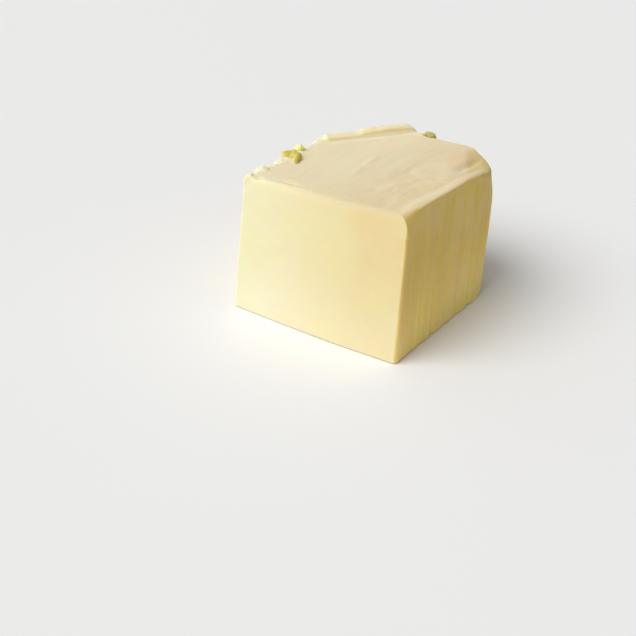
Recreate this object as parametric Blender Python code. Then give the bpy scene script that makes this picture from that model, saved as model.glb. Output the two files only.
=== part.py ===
"""A block of butter: 500 g when whole, now short by the slices cut from its front end.

The block stands on its base with +Z up. +X runs across its width and +Y from the cut face to the
back. The origin is on the base, under the middle of the block.

The front is a clean cut face that bows out a little. The top slopes, and its edges are worn: ragged on
the left, soft on the right, rounded at the back. The back left corner is scraped away along a slanting
line, and the butter pushed up there stands as a ridge. A low lip runs along the back of the right edge.
Shallow flutes run up the right side.
"""
import math

import bmesh
import bpy
from mathutils import Vector

NAME = "butter_block"

# Driving dimensions, in metres.
WIDTH = 0.0768
DEPTH = 0.096
HEIGHT_FRONT_LEFT = 0.0595
HEIGHT_FRONT_RIGHT = 0.0641
DROP_TO_BACK = 0.0046

# The upright corners, seen from above: how far each is rounded. The back right one is rounder still
# towards the top.
CORNER_FRONT_LEFT = 0.0010
CORNER_FRONT_RIGHT = 0.0014
CORNER_BACK_LEFT = 0.0080
CORNER_BACK_RIGHT = 0.0250
CORNER_BACK_RIGHT_GROWTH = 0.0040

# The top edges: how far each is worn round.
WEAR_FRONT = 0.0010
WEAR_FRONT_RIGHT = 0.0042
WEAR_RIGHT = 0.0010
WEAR_BACK_RIGHT = 0.0105
WEAR_BACK = 0.0045
WEAR_LEFT = 0.0022
WEAR_BOTTOM = 0.0006

# The front edge is most worn round this place. The right edge's front softness ends at one place along
# the block, and its back rounding grows between two others, as the back edge's does across the block.
FRONT_WORN_AT = 0.0020
FRONT_WORN_WIDTH = 0.0180
FRONT_WORN_SHARE = 0.9
RIGHT_SOFT_END = -0.0030
RIGHT_ROUND_START = 0.0200
RIGHT_ROUND_END = 0.0400
BACK_ROUND_START = 0.0080
BACK_ROUND_END = 0.0320

# The left edge's ragged wear: each wave's length along the block, its share of the wear and its phase.
# The edge is calmer towards the back.
LEFT_WAVES = ((0.0153, 0.28, 0.7), (0.0068, 0.20, 2.1), (0.0039, 0.14, 0.0))
LEFT_CALM_SHARE = 0.35
LEFT_CALM_START = -0.0200
LEFT_CALM_END = 0.0050

# How far the sides lean in from the base to the top, and the ends bow.
LEAN_LEFT = 0.0018
LEAN_RIGHT = 0.0005
LEAN_BACK = 0.0010
BOW_FRONT = 0.0012
BOW_BACK = 0.0008

# The ridge starts at this point of the left side and runs back and to the right.
RIDGE_START = Vector((-0.0326, 0.0086))
RIDGE_TURN = math.radians(31.6)
RIDGE_LENGTH = 0.0520
RIDGE_HIGH = 0.0036
RIDGE_LOW = 0.0025
RIDGE_STEP = 0.0150
RIDGE_EASE = 0.0020
RIDGE_FACE = 0.0028
RIDGE_WIDTH = 0.0062
RIDGE_TAIL = 0.0074
RIDGE_REACH = 0.0009

# The scraped corner behind the ridge.
SCRAPE_DEPTH = 0.0135
SCRAPE_EASE = 0.0070

# The lip along the back of the right edge, and the crease inside it.
LIP_HEIGHT = 0.0009
LIP_START = -0.0040
LIP_END = 0.0260
LIP_INSET = 0.0055
LIP_WIDTH = 0.0022
LIP_EASE = 0.0080
LIP_CUT_OFF = 0.0040
CREASE_DEPTH = 0.0008
CREASE_INSET = 0.0105
CREASE_START = 0.0100

# The flutes of the right side.
FLUTE_PITCH = 0.0111
FLUTE_PHASE = 0.0028
FLUTE_DEPTH = 0.0005
FLUTE_WIDTH = 0.0016
FLUTE_LEAN = 0.08
FLUTE_REACH = 0.0040
FLUTE_MIDDLE = 0.0300
FLUTES_START = -0.0360
FLUTES_END = 0.0320
FLUTES_EASE = 0.0080

# The mesh grid: cells across, back and up, and how much finer they are at the edges.
CELLS = (42, 52, 12)
EDGE_FINENESS = 0.45

# Snaps a cut to a grid point this close, and the angle from which an edge is drawn sharp.
CUT_SNAP = 1e-6
SHARP_ANGLE = math.radians(40.0)

BUTTER_COLOUR = (0.90, 0.78, 0.42, 1.0)
BUTTER_ROUGHNESS = 0.42


def smooth_step(low, high, value):
    """0 below low, 1 above high, and an even S between them."""
    t = min(max((value - low) / (high - low), 0.0), 1.0)
    return t * t * (3.0 - 2.0 * t)


def bell(distance, width):
    """1 at no distance, fading to nothing over about two widths."""
    return math.exp(-((distance / width) ** 2))


def plain_top(x, y):
    """Height of the flat, sloping top before wear."""
    across = x / WIDTH + 0.5
    back = y / DEPTH + 0.5
    front_height = HEIGHT_FRONT_LEFT + (HEIGHT_FRONT_RIGHT - HEIGHT_FRONT_LEFT) * across
    return front_height - DROP_TO_BACK * back


def ridge_place(x, y):
    """Distance along the ridge, and distance behind its foot."""
    along = Vector((math.sin(RIDGE_TURN), math.cos(RIDGE_TURN)))
    behind = Vector((-along.y, along.x))
    offset = Vector((x, y)) - RIDGE_START
    return offset.dot(along), offset.dot(behind)


def drawn_to_ridge(x, y):
    """Moves a point close to the ridge's foot or brow onto that line, so that the ridge runs straight."""
    along, behind = ridge_place(x, y)
    inner = abs(x) < WIDTH / 2 - RIDGE_REACH and abs(y) < DEPTH / 2 - RIDGE_REACH
    for line in (0.0, RIDGE_FACE):
        shift = line - behind
        if inner and 0.0 < along < RIDGE_LENGTH and abs(shift) < RIDGE_REACH:
            return x - shift * math.cos(RIDGE_TURN), y + shift * math.sin(RIDGE_TURN)
    return x, y


def ridge_crest(along):
    """Height of the ridge: low on the left, then higher, then running out at the back."""
    step = smooth_step(RIDGE_STEP - RIDGE_EASE, RIDGE_STEP + RIDGE_EASE, along)
    start = smooth_step(-RIDGE_EASE, RIDGE_EASE, along)
    run_out = 1.0 - smooth_step(RIDGE_LENGTH / 2, RIDGE_LENGTH, along)
    return (RIDGE_LOW + (RIDGE_HIGH - RIDGE_LOW) * step) * start * run_out


def top_height(x, y):
    """Height of the worn top: the slope, the ridge, the scraped corner, the lip and its crease."""
    along, behind = ridge_place(x, y)
    ridge = ridge_crest(along) * smooth_step(0.0, RIDGE_FACE, behind)
    ridge *= 1.0 - smooth_step(RIDGE_WIDTH, RIDGE_WIDTH + RIDGE_TAIL, behind)
    past_crest = max(behind - RIDGE_WIDTH, 0.0)
    scrape = SCRAPE_DEPTH * (1.0 - math.exp(-past_crest / SCRAPE_EASE))
    to_right = WIDTH / 2 - x
    run = smooth_step(LIP_START, LIP_START + LIP_EASE, y) * (1.0 - smooth_step(LIP_END - LIP_CUT_OFF, LIP_END, y))
    lip = LIP_HEIGHT * bell(to_right - LIP_INSET, LIP_WIDTH)
    crease = CREASE_DEPTH * bell(to_right - CREASE_INSET, LIP_WIDTH)
    crease *= smooth_step(CREASE_START, CREASE_START + LIP_EASE, y)
    return plain_top(x, y) + ridge - scrape + (lip - crease) * run


def left_wear(y):
    """The left edge is ragged: its wear comes and goes along the block."""
    waves = sum(share * math.sin(math.tau * y / length + phase) for length, share, phase in LEFT_WAVES)
    calm = 1.0 - LEFT_CALM_SHARE * smooth_step(LEFT_CALM_START, LEFT_CALM_END, y)
    return WEAR_LEFT * (1.0 + waves) * calm


def right_wear(y):
    """The right edge is soft at the front, crisp in the middle and round at the back."""
    front = (WEAR_FRONT_RIGHT - WEAR_RIGHT) * (1.0 - smooth_step(-DEPTH / 2, RIGHT_SOFT_END, y))
    back = (WEAR_BACK_RIGHT - WEAR_RIGHT) * smooth_step(RIGHT_ROUND_START, RIGHT_ROUND_END, y)
    return WEAR_RIGHT + front + back


def front_wear(x):
    """The front edge is most worn in the middle."""
    return WEAR_FRONT * (1.0 + FRONT_WORN_SHARE * bell(x - FRONT_WORN_AT, FRONT_WORN_WIDTH))


def back_wear(x):
    """The back edge is rounder towards the right corner."""
    return WEAR_BACK + (WEAR_BACK_RIGHT - WEAR_BACK) * smooth_step(BACK_ROUND_START, BACK_ROUND_END, x)


def round_off(inward, down, radius):
    """Moves a point near a square edge onto a rounded one; both distances are from the edge's faces."""
    u, v = radius - inward, radius - down
    if u <= 0.0 or v <= 0.0:
        return inward, down
    scale = max(u, v) / math.hypot(u, v)
    return radius - u * scale, radius - v * scale


def round_edges(x, y, level, left, right, front, back):
    """Rounds the four edges between the walls and a face that is level away, each by its own radius."""
    point, halves = [x, y], (WIDTH / 2, DEPTH / 2)
    for axis, side, radius in ((0, -1, left), (0, 1, right), (1, -1, front), (1, 1, back)):
        inward, level = round_off(halves[axis] - side * point[axis], level, radius)
        point[axis] = side * (halves[axis] - inward)
    return point[0], point[1], level


def round_corner(x, y, rise):
    """Rounds the outline's four corners, seen from above; rise is 0 at the base and 1 at the top."""
    growth = CORNER_BACK_RIGHT_GROWTH * smooth_step(0.5, 1.0, rise)
    corners = {
        (-1, -1): CORNER_FRONT_LEFT,
        (1, -1): CORNER_FRONT_RIGHT,
        (-1, 1): CORNER_BACK_LEFT,
        (1, 1): CORNER_BACK_RIGHT + growth,
    }
    for (side, end), radius in corners.items():
        centre_x, centre_y = side * (WIDTH / 2 - radius), end * (DEPTH / 2 - radius)
        u, v = side * (x - centre_x), end * (y - centre_y)
        if u > 0.0 and v > 0.0:
            scale = max(u, v) / math.hypot(u, v)
            return centre_x + side * u * scale, centre_y + end * v * scale
    return x, y


def flute(y, z):
    """Depth of the right side's flutes."""
    phase = (y + FLUTE_LEAN * (z - FLUTE_MIDDLE) - FLUTE_PHASE) / FLUTE_PITCH
    from_flute = (phase - round(phase)) * FLUTE_PITCH
    start = smooth_step(FLUTES_START, FLUTES_START + FLUTES_EASE, y)
    end = 1.0 - smooth_step(FLUTES_END - FLUTES_EASE, FLUTES_END, y)
    return FLUTE_DEPTH * bell(from_flute, FLUTE_WIDTH) * start * end


def shaped(a, b, c):
    """Where the point at fractions a, b and c of the plain box lies on the block."""
    x, y = drawn_to_ridge((a - 0.5) * WIDTH, (b - 0.5) * DEPTH)
    top = top_height(x, y)
    wear = (left_wear(y), right_wear(y), front_wear(x), back_wear(x))
    x, y, down = round_edges(x, y, (1.0 - c) * top, *wear)
    x, y, z = round_edges(x, y, top - down, *[WEAR_BOTTOM] * 4)
    edge_right = WIDTH / 2 - x
    rise = z / HEIGHT_FRONT_LEFT
    x, y = round_corner(x, y, rise)
    x -= flute(y, z) * (1.0 - smooth_step(0.0, FLUTE_REACH, edge_right))
    lean = LEAN_LEFT * rise if x < 0.0 else LEAN_RIGHT * rise * rise
    x *= 1.0 - 2.0 * lean / WIDTH
    y *= 1.0 - 2.0 * LEAN_BACK * smooth_step(0.0, DEPTH / 2, y) * rise * rise / DEPTH
    off_middle = (2.0 * x / WIDTH) ** 2
    frontness, backness = 0.5 - y / DEPTH, 0.5 + y / DEPTH
    y += BOW_FRONT * off_middle * frontness ** 2 - BOW_BACK * off_middle * backness ** 2
    return Vector((x, y, z))


def finer_at_edges(fraction):
    """Draws the grid's lines together towards both ends of a side."""
    return fraction - EDGE_FINENESS * math.sin(2.0 * math.pi * fraction) / (2.0 * math.pi)


def grid_box():
    """A unit cube whose faces are cut into a grid, its lines closer together at the edges."""
    grid = bmesh.new()
    bmesh.ops.create_cube(grid, size=1.0)
    for axis, cells in enumerate(CELLS):
        normal = Vector([float(axis == i) for i in range(3)])
        for line in range(1, cells):
            place = normal * (finer_at_edges(line / cells) - 0.5)
            whole = grid.verts[:] + grid.edges[:] + grid.faces[:]
            bmesh.ops.bisect_plane(grid, geom=whole, plane_co=place, plane_no=normal, dist=CUT_SNAP)
    return grid


def butter_material():
    """Pale yellow butter with a soft sheen."""
    material = bpy.data.materials.new("butter")
    material.use_nodes = True
    shader = material.node_tree.nodes["Principled BSDF"]
    shader.inputs["Base Color"].default_value = BUTTER_COLOUR
    shader.inputs["Roughness"].default_value = BUTTER_ROUGHNESS
    shader.inputs["Metallic"].default_value = 0.0
    material.diffuse_color = BUTTER_COLOUR
    return material


def butter_block(collection):
    """The block, shaped point by point from the grid box."""
    grid = grid_box()
    for vertex in grid.verts:
        vertex.co = shaped(*(part + 0.5 for part in vertex.co))
    bmesh.ops.triangulate(grid, faces=grid.faces, quad_method="SHORT_EDGE")
    bmesh.ops.recalc_face_normals(grid, faces=grid.faces)
    mesh = bpy.data.meshes.new(NAME)
    grid.to_mesh(mesh)
    grid.free()
    mesh.shade_smooth()
    mesh.set_sharp_from_angle(angle=SHARP_ANGLE)
    mesh.materials.append(butter_material())
    block = bpy.data.objects.new(NAME, mesh)
    collection.objects.link(block)
    return block


def main():
    for old in list(bpy.data.objects):
        bpy.data.objects.remove(old)
    collection = bpy.data.collections.new("butter")
    bpy.context.scene.collection.children.link(collection)
    butter_block(collection)


main()
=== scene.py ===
"""The looks of a block of butter, cut clean at the front and scraped along its back left corner."""
import math

import bmesh
import bpy
from mathutils import Matrix, Vector, noise


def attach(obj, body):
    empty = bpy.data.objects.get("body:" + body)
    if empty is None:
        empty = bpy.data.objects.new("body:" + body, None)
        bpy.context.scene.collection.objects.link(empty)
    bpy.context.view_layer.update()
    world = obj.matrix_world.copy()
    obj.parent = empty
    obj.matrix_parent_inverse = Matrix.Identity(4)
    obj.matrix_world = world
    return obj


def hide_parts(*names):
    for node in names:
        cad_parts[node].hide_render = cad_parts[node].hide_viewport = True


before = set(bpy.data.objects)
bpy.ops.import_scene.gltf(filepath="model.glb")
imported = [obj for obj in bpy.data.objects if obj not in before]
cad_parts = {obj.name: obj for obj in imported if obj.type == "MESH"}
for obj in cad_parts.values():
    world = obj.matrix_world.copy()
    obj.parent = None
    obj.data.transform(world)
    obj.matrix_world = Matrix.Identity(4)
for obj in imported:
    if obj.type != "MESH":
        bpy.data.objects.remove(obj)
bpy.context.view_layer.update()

MM = 0.001

# The block's driving sizes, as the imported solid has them, in metres.
WIDTH = 0.0768
DEPTH = 0.096
HEIGHT_FRONT_LEFT = 0.0595
HEIGHT_FRONT_RIGHT = 0.0641
DROP_TO_BACK = 0.0046

# The upright corners, seen from above.
CORNER_FRONT_LEFT = 0.0010
CORNER_FRONT_RIGHT = 0.0014
CORNER_BACK_LEFT = 0.0080
CORNER_BACK_RIGHT = 0.0250
CORNER_BACK_RIGHT_GROWTH = 0.0055
CORNER_GROWS_FROM = 0.72

# How far each top edge is worn round, and where the wear changes along it. The front edge is worn most in its
# middle. The right edge is soft as far back as RIGHT_SOFT_END, and its rounding reaches further down than in
# there (TALL). The back edge is crisp where the ridge ends (RIDGE_END) and by the right corner (BACK_ROUND).
WEAR_FRONT = 0.0014
WEAR_FRONT_RIGHT = 0.0050
WEAR_RIGHT = 0.0015
WEAR_BACK_RIGHT = 0.0014
WEAR_BACK = 0.0040
WEAR_LEFT = 0.0022
WEAR_BOTTOM = 0.0006
FRONT_WORN_AT = 0.0020
FRONT_WORN_WIDTH = 0.0180
FRONT_WORN_SHARE = 0.9
RIGHT_SOFT_END = -0.0340
TALL_FRONT = 0.9
TALL_END = -0.0340
RIGHT_ROUND_START = 0.0240
RIGHT_ROUND_END = 0.0400
RIDGE_END_X = -0.0105
RIDGE_END_WIDTH = 0.0055
RIDGE_END_CRISP = 0.60
BACK_ROUND_START = 0.0080
BACK_ROUND_END = 0.0200

# How rough the wear of each edge is: its place in the noise, the share of the wear, and the lumps' length.
LEFT_ROUGH = (2.2, 0.30, 0.0022)
RIGHT_ROUGH = (4.4, 0.05, 0.0060)
FRONT_ROUGH = (6.6, 0.12, 0.0050)

# The left edge's ragged wear: each wave's length, share of the wear, and phase.
LEFT_WAVES = ((0.0153, 0.28, 0.7), (0.0068, 0.16, 2.1))
LEFT_CALM_SHARE = 0.35
LEFT_CALM_START = -0.0200
LEFT_CALM_END = 0.0050

# How far the sides lean in and the ends bow. The cut face bends softly at one place across it.
LEAN_LEFT = 0.0012
LEAN_RIGHT = 0.0005
LEAN_BACK = 0.0010
BOW_FRONT = 0.0012
BOW_BACK = 0.0008
BEND_PLACE = 0.0060
BEND_SOFTNESS = 0.0110

# The ridge pushed up along the scraped corner: where it starts, the way it runs, how it steps up from low to
# high, and the shape of its face and its back. Its lead is the low swelling ahead of its left end, and its
# knee is where its face stands out most.
RIDGE_START = Vector((-0.0326, 0.0086))
RIDGE_TURN = math.radians(31.6)
RIDGE_LENGTH = 0.0560
RIDGE_RUN_OUT = 0.0400
RIDGE_HIGH = 0.0036
RIDGE_LOW = 0.0026
RIDGE_STEP = 0.0162
RIDGE_SKEW = 0.55
RIDGE_EASE = 0.0008
RIDGE_STEP_EASE = 0.0019
RIDGE_LEAD_SHARE = 0.38
RIDGE_LEAD_START = -0.0110
RIDGE_LEAD_END = -0.0030
RIDGE_PATTERN = 3.1
RIDGE_LUMPS = 0.13
RIDGE_LUMP_SIZE = 0.0040
RIDGE_BULGE = 0.4
RIDGE_FACE = 0.0040
RIDGE_WIDTH = 0.0050
RIDGE_TAIL = 0.0074
RIDGE_REACH = 0.0003
RIDGE_ROLL = 0.0003
RIDGE_ROLL_FROM = 0.75
RIDGE_KNEE = 0.0304
RIDGE_KNEE_OUT = 0.0009
RIDGE_KNEE_END = 0.0060

# The soft swelling of the top just before the ridge's foot.
FOOT_HEIGHT = 0.00045
FOOT_INSET = 0.0022
FOOT_WIDTH = 0.0015
FOOT_EASE = 0.0060

# The scraped corner behind the ridge. The top's fine marks end where it starts.
SCRAPE_DEPTH = 0.0135
SCRAPE_EASE = 0.0070
MARKS_END_BEHIND = (-0.0010, 0.0005)
MARKS_END_ALONG = (-0.0020, 0.0010)

# The lip along the right edge: broad at the front, narrow at the back. A crease runs inside its back part.
LIP_HEIGHT = 0.0013
LIP_START = -0.0480
LIP_EASE = 0.0090
LIP_INSET = 0.0022
LIP_BROAD = 0.0042
LIP_NARROW = 0.0019
LIP_NARROWS_FROM = -0.0250
LIP_NARROWS_TO = 0.0100
CREASE_DEPTH = 0.0013
CREASE_INSET = 0.0102
CREASE_WIDTH = 0.0021
CREASE_START = 0.0070
CREASE_EASE = 0.0120

# The facet that slopes away to the back right corner: a point of its inner edge, the way it faces, how steep
# it starts and how fast it steepens, per metre. The lip and the crease fade out beyond its inner edge.
FACET_START = Vector((0.0222, 0.0314))
FACET_TURN = math.radians(28.0)
FACET_SLOPE = 0.19
FACET_CURVE = 6.0
CREASE_FADE = (0.0020, 0.0085)
LIP_FADE = (0.0055, 0.0110)

# The grain of the top: how high it is, its place in the noise, and how long its marks are across and back.
TOP_STREAKS = ((0.00010, 0.7, 0.0030, 0.016), (0.00004, 5.3, 0.0013, 0.009))
TOP_SWELL = (0.00025, 9.1, 0.017, 0.026)

# The flutes of the sides. They are shallower just below the top and on the left side, where they also lie
# a little further to the front.
FLUTE_PITCH = 0.0111
FLUTE_PHASE = 0.0028
FLUTE_DEPTH = 0.0007
FLUTE_WIDTH = 0.0013
FLUTE_LEAN = 0.08
FLUTE_REACH = 0.0040
FLUTE_MIDDLE = 0.0300
FLUTES_START = -0.0360
FLUTES_END = 0.0320
FLUTES_EASE = 0.0080
FLUTE_CALM = 0.8
FLUTE_CALM_DEPTH = 0.0060
FLUTE_LEFT_SHARE = 0.45
FLUTE_LEFT_SHIFT = 0.0040
STREAK_PATTERN = 1.9
STREAK_DEPTH = 0.0001
STREAK_WIDTH = 0.0021
STREAK_LENGTH = 0.030

# The crumbly left edge: between which distances below the top and in from the left it grows and fades, where
# it calms down towards the ridge, the share that stays there, how far it stands out between its lumps, and
# its lumps: the height, the size and the place in the noise of each kind.
CRUMBLY_DOWN = (0.0060, 0.0010)
CRUMBLY_ACROSS = (0.0030, 0.0078)
CRUMBLY_BACK = (-0.0140, -0.0040)
CRUMBLY_REST = 0.25
CRUMBLY_LIFT = 0.25
CRUMBLY_LUMPS = ((0.9, 0.0060, 4.4), (0.9, 0.0031, 0.0), (0.5, 0.0015, 0.0))

# A faint curved mark, high in the middle of the cut face and of the back: its middle across and up, its
# radius, its width and depth, and the part of the circle that shows.
ARC_ACROSS = 0.0010
ARC_UP = 0.0500
ARC_RADIUS = 0.0060
ARC_WIDTH = 0.0006
ARC_DEPTH = 0.00012
ARC_LEFT_OF = -0.0012
ARC_ABOVE = 0.0480

# The knife's marks on the cut face: how far out the face lies, and of each kind of mark the height, the place
# in the noise, and the length across and up.
CUT_FACE = (0.046, 0.047)
CUT_MARKS = ((0.00010, 0.0, 0.012, 0.022), (0.00002, 1.0, 0.016, 0.0016))

# The bulge at the top of the upright front right edge, and the nick below it.
BULGE_ACROSS = 0.0022
BULGE_BACK = 0.0040
BULGE_OUT = 0.00035
BULGE_FROM = (0.0542, 0.0550)
NICK_UP = 0.0540
NICK_HEIGHT = 0.0008
NICK_DEPTH = 0.00045

# The slow waves of the walls.
WALL_WAVES = 0.0002
WALL_WAVE_SIZE = 0.013

# The grid of the block's surface: cells across, back and up. Its lowest rows stay flat on the ground.
CELLS = (146, 182, 104)
EDGE_FINENESS = 0.45
STILL_BELOW = 0.0007


def smooth_step(low, high, value):
    """0 below low, 1 above high, and an even S between them."""
    t = min(max((value - low) / (high - low), 0.0), 1.0)
    return t * t * (3.0 - 2.0 * t)


def bell(distance, width):
    """1 at no distance, fading to nothing over about two widths."""
    return math.exp(-((distance / width) ** 2))


def grain(x, y, z, long_x, long_y, long_z):
    """Smooth noise between about -1 and 1, with its own grain length on each axis."""
    return noise.noise(Vector((x / long_x, y / long_y, z / long_z)))


def rough(place, pattern, share, size):
    """A factor that comes and goes by a share along an edge, in lumps of about that size."""
    return 1.0 + share * grain(0.0, place, pattern, 1.0, size, 1.0)


def plain_top(x, y):
    """Height of the plain sloping top."""
    across = x / WIDTH + 0.5
    back = y / DEPTH + 0.5
    front_height = HEIGHT_FRONT_LEFT + (HEIGHT_FRONT_RIGHT - HEIGHT_FRONT_LEFT) * across
    return front_height - DROP_TO_BACK * back


def ridge_place(x, y):
    """Distance along the ridge, and distance behind its foot."""
    along = Vector((math.sin(RIDGE_TURN), math.cos(RIDGE_TURN)))
    behind = Vector((-along.y, along.x))
    offset = Vector((x, y)) - RIDGE_START
    return offset.dot(along), offset.dot(behind)


def drawn_to_ridge(x, y):
    """Moves a point close to the ridge's foot or brow onto that line, so that the ridge runs straight."""
    along, behind = ridge_place(x, y)
    inner = abs(x) < WIDTH / 2 - RIDGE_REACH and abs(y) < DEPTH / 2 - RIDGE_REACH
    for line in (0.0, RIDGE_FACE):
        shift = line - behind
        if inner and 0.0 < along < RIDGE_LENGTH and abs(shift) < RIDGE_REACH:
            return x - shift * math.cos(RIDGE_TURN), y + shift * math.sin(RIDGE_TURN)
    return x, y


def ridge_crest(along, skew=0.0):
    """Height of the ridge: low on the left, then higher, then running out at the back."""
    step = smooth_step(RIDGE_STEP - RIDGE_STEP_EASE, RIDGE_STEP + RIDGE_STEP_EASE, along - skew)
    start = RIDGE_LEAD_SHARE * smooth_step(RIDGE_LEAD_START, RIDGE_LEAD_END, along)
    start += (1.0 - RIDGE_LEAD_SHARE) * smooth_step(-RIDGE_EASE, RIDGE_EASE, along)
    run_out = 1.0 - smooth_step(RIDGE_RUN_OUT, RIDGE_LENGTH, along)
    return (RIDGE_LOW + (RIDGE_HIGH - RIDGE_LOW) * step) * start * run_out


def ridge_roll(along, behind):
    """How far the ridge's face rolls forward over its foot."""
    up = min(max(behind / RIDGE_FACE, 0.0), 1.0)
    down = 1.0 - smooth_step(RIDGE_FACE, RIDGE_WIDTH, behind)
    knee = smooth_step(RIDGE_STEP, RIDGE_KNEE, along)
    knee *= 1.0 - smooth_step(RIDGE_KNEE, RIDGE_LENGTH - RIDGE_KNEE_END, along)
    roll = RIDGE_ROLL * ridge_crest(along) / RIDGE_HIGH + RIDGE_KNEE_OUT * knee
    return roll * math.sin(math.pi / 2 * up) * down


# Burrs and scratches that the knife left on the top: where each starts and ends, its height and its width,
# in millimetres.
KNIFE_LINES = (
    ((-3.3, -19.6), (-5.0, -8.0), 0.42, 1.5),
    ((-5.0, -6.6), (-6.9, 6.5), 0.46, 1.4),
    ((11.2, -30.7), (12.3, -25.5), -0.60, 0.7),
    ((18.0, -27.3), (18.5, -23.3), -0.38, 0.6),
    ((24.8, -27.0), (25.2, -23.6), -0.38, 0.6),
    ((24.9, -21.0), (25.9, -16.5), -0.34, 0.6),
    ((20.9, -9.0), (21.1, -4.6), -0.38, 0.7),
    ((25.9, -4.8), (26.7, -0.4), -0.40, 0.7),
    ((13.7, -4.1), (11.8, 3.7), -0.26, 1.0),
    ((8.1, -14.8), (8.1, -4.0), 0.30, 1.6),
    ((17.5, -3.0), (17.2, 3.0), 0.24, 1.4),
    ((15.5, -22.0), (15.5, -14.0), 0.20, 1.4),
    ((20.5, -36.8), (21.0, -31.5), -0.24, 0.8),
    ((11.9, -12.6), (11.9, -8.5), -0.20, 0.7),
    ((-14.0, -34.0), (-14.6, -14.0), -0.12, 1.1),
    ((-22.0, -30.0), (-22.6, -12.0), 0.12, 1.0),
    ((3.0, 4.0), (2.0, 20.0), -0.12, 1.1),
)

# How far each runs past its two ends, and how far in it has its full height, as shares of its length.
KNIFE_PAST = 0.2
KNIFE_EASE = 0.25


def knife_lines(x, y):
    """Height of the burrs and scratches on the top."""
    height = 0.0
    for (x0, y0), (x1, y1), tall, wide in KNIFE_LINES:
        run = Vector((x1 - x0, y1 - y0)) * MM
        offset = Vector((x - x0 * MM, y - y0 * MM))
        t = offset.dot(run) / run.length_squared
        if -KNIFE_PAST < t < 1.0 + KNIFE_PAST:
            aside = (offset - run * t).length
            fade = smooth_step(-KNIFE_PAST, KNIFE_EASE, t)
            fade *= 1.0 - smooth_step(1.0 - KNIFE_EASE, 1.0 + KNIFE_PAST, t)
            height += tall * MM * bell(aside, wide * MM) * fade
    return height


# Dents and bumps of the top, most of them by its edges: place, half width across and back, and height,
# in millimetres.
DENTS = (
    (-36.8, -46.6, 1.5, 2.2, 0.75),
    (-32.0, -46.6, 1.6, 1.8, -0.85),
    (-26.5, -45.4, 2.6, 1.4, -0.30),
    (-20.4, -44.2, 2.6, 1.2, -0.40),
    (-15.6, -44.0, 2.2, 1.1, -0.60),
    (-18.5, -40.2, 2.8, 1.1, 0.30),
    (-3.8, -44.0, 2.4, 1.3, -0.15),
    (10.6, -44.4, 2.8, 1.3, -0.18),
    (20.2, 44.6, 2.4, 2.2, 0.80),
    (-31.5, -20.8, 1.5, 1.1, 0.45),
    (-6.6, 44.6, 2.4, 1.3, 0.70),
)


def dents(x, y):
    """Height of the dents and bumps of the top."""
    return sum(tall * MM * bell(x - px * MM, wx * MM) * bell(y - py * MM, wy * MM)
               for px, py, wx, wy, tall in DENTS)


def top_grain(x, y, height, pattern, long_x, long_y):
    """Height of one grain of the top."""
    return height * grain(x, y, pattern, long_x, long_y, 1.0)


def top_height(x, y):
    """Height of the worn top: the slope, the ridge, the scraped corner, the lip, its crease and the facet."""
    along, behind = ridge_place(x, y)
    lumps = 1.0 + RIDGE_LUMPS * grain(along, behind, RIDGE_PATTERN, RIDGE_LUMP_SIZE, RIDGE_LUMP_SIZE, 1.0)
    up = min(max(behind / RIDGE_FACE, 0.0), 1.0)
    rise = (1.0 - RIDGE_BULGE) * up + RIDGE_BULGE * math.sin(math.pi / 2 * up)
    ridge = ridge_crest(along, RIDGE_SKEW * max(behind, 0.0)) * lumps * rise
    ridge *= 1.0 - smooth_step(RIDGE_WIDTH, RIDGE_WIDTH + RIDGE_TAIL, behind)
    past_crest = max(behind - RIDGE_WIDTH, 0.0)
    scrape = SCRAPE_DEPTH * (1.0 - math.exp(-past_crest / SCRAPE_EASE))
    to_right = WIDTH / 2 - x
    lip_width = LIP_BROAD + (LIP_NARROW - LIP_BROAD) * smooth_step(LIP_NARROWS_FROM, LIP_NARROWS_TO, y)
    lip = LIP_HEIGHT * bell(max(to_right - LIP_INSET, 0.0), lip_width)
    lip *= smooth_step(LIP_START, LIP_START + LIP_EASE, y)
    lip *= 1.0 - smooth_step(*LIP_FADE, past_facet(x, y))
    crease = CREASE_DEPTH * bell(to_right - CREASE_INSET, CREASE_WIDTH)
    crease *= smooth_step(CREASE_START, CREASE_START + CREASE_EASE, y)
    crease *= 1.0 - smooth_step(*CREASE_FADE, past_facet(x, y))
    on_top = 1.0 - smooth_step(*MARKS_END_BEHIND, behind) * smooth_step(*MARKS_END_ALONG, along)
    streaks = sum(top_grain(x, y, *streak) for streak in TOP_STREAKS)
    foot = FOOT_HEIGHT * bell(behind + FOOT_INSET, FOOT_WIDTH) * smooth_step(0.0, FOOT_EASE, along)
    return (plain_top(x, y) + ridge - scrape + lip - crease - facet_drop(x, y)
            + (streaks + knife_lines(x, y) + foot + dents(x, y)) * on_top + top_grain(x, y, *TOP_SWELL))


def past_facet(x, y):
    """Distance beyond the inner edge of the back right facet."""
    return (Vector((x, y)) - FACET_START).dot(Vector((math.cos(FACET_TURN), math.sin(FACET_TURN))))


def facet_drop(x, y):
    """How far the back right facet lies below the plain top."""
    beyond = max(past_facet(x, y), 0.0)
    return FACET_SLOPE * beyond + FACET_CURVE * beyond ** 2


def left_wear(y):
    """The left edge is ragged: its wear comes and goes along the block."""
    waves = sum(share * math.sin(math.tau * y / length + phase) for length, share, phase in LEFT_WAVES)
    calm = 1.0 - LEFT_CALM_SHARE * smooth_step(LEFT_CALM_START, LEFT_CALM_END, y)
    return WEAR_LEFT * (waves + rough(y, *LEFT_ROUGH)) * calm


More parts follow.
